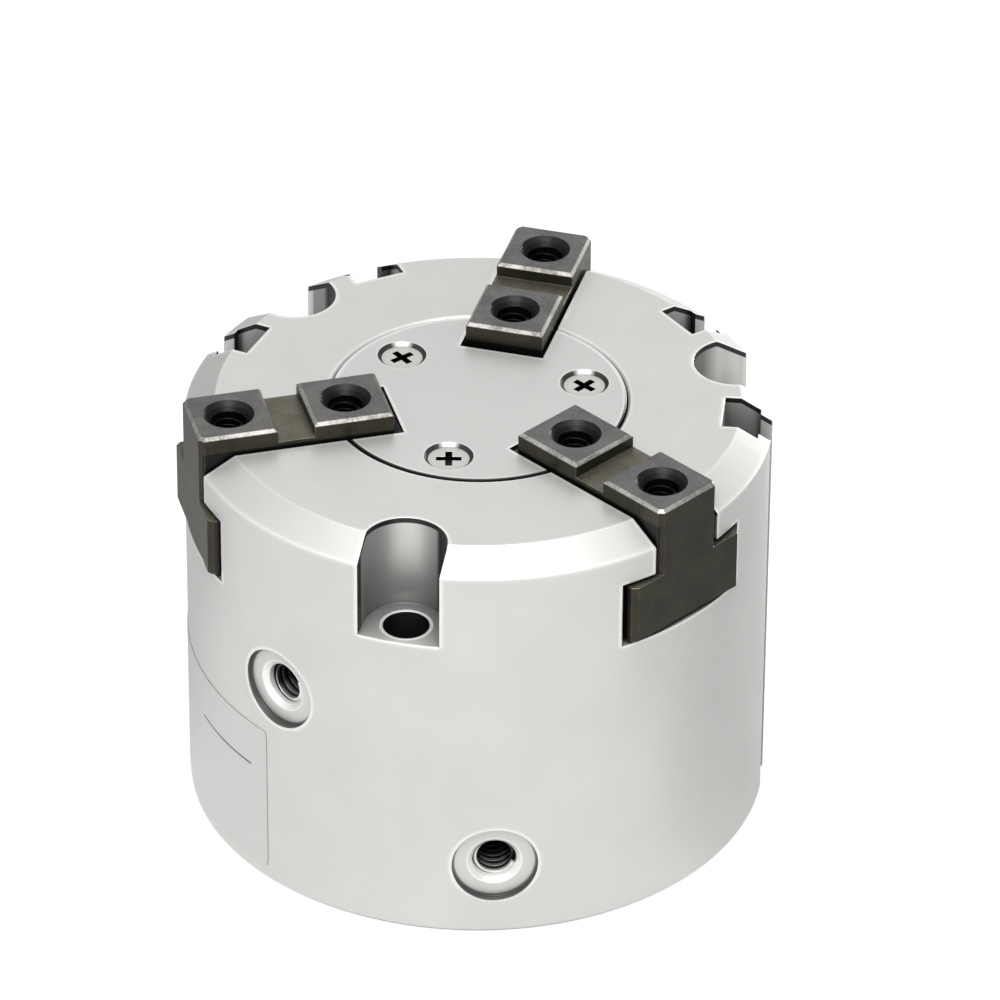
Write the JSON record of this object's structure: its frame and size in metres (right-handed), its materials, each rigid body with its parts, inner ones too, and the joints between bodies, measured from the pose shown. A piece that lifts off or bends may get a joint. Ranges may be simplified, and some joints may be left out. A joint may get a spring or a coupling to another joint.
{
  "type": "three jaw centric gripper",
  "caption": "Round pneumatic gripper body with three jaws in radial T-slots that close on the centre together, driven by a piston and a wedge cam.",
  "frame": {"origin": "on the bore axis at the mounting face", "axes": "+Z along the axis towards the jaws, +Y towards jaw 1"},
  "size_m": [0.056, 0.056, 0.0444],
  "materials": {
    "anodised_body": "clear anodised, satin",
    "anodised_plate": "clear anodised, satin",
    "screw_steel": "zinc plated",
    "jaw_steel": "hardened and dark treated",
    "cam_steel": "ground",
    "bolt_steel": "black oxide",
    "ring_steel": "phosphated spring steel",
    "piston_aluminium": "chromated",
    "seal_rubber": "moulded nitrile",
    "bumper_rubber": "moulded urethane",
    "magnet": "plastic-bonded magnet",
    "wear_plastic": "filled fluoroplastic"
  },
  "bodies": {
    "housing": {"body": "anodised_body", "end_plate": "anodised_plate", "end_plate_screws": "screw_steel", "bulkhead": "piston_aluminium", "bulkhead_o_ring": "seal_rubber", "rod_seal": "seal_rubber", "rod_seal_retainer": "screw_steel", "upper_bumper": "bumper_rubber", "lower_bumper": "bumper_rubber", "bottom_cap": "anodised_plate", "cap_o_ring": "seal_rubber", "cap_retaining_ring": "ring_steel"},
    "piston_and_cam": {"piston": "piston_aluminium", "piston_seal": "seal_rubber", "magnet_ring": "magnet", "piston_wear_ring": "wear_plastic", "magnet_retainer": "piston_aluminium", "piston_bolt": "bolt_steel", "bolt_washer": "bolt_steel", "wedge_cam": "cam_steel"},
    "jaw_1": {"jaw_1": "jaw_steel"},
    "jaw_2": {"jaw_2": "jaw_steel"},
    "jaw_3": {"jaw_3": "jaw_steel"}
  },
  "joints": [
    {"name": "piston_stroke", "type": "slide", "parent": "housing", "child": "piston_and_cam", "axis": [0, 0, 1], "range_m": [0, 0.005]},
    {"name": "jaw_1_slide", "type": "slide", "parent": "housing", "child": "jaw_1", "axis": [0, 1, 0], "range_m": [0, 0.004]},
    {"name": "jaw_2_slide", "type": "slide", "parent": "housing", "child": "jaw_2", "axis": [-0.866, -0.5, 0], "range_m": [0, 0.004]},
    {"name": "jaw_3_slide", "type": "slide", "parent": "housing", "child": "jaw_3", "axis": [0.866, -0.5, 0], "range_m": [0, 0.004]}
  ],
  "couplings": [
    {"joint": "jaw_1_slide", "follows": "piston_stroke", "ratio": 0.8},
    {"joint": "jaw_2_slide", "follows": "piston_stroke", "ratio": 0.8},
    {"joint": "jaw_3_slide", "follows": "piston_stroke", "ratio": 0.8}
  ]
}
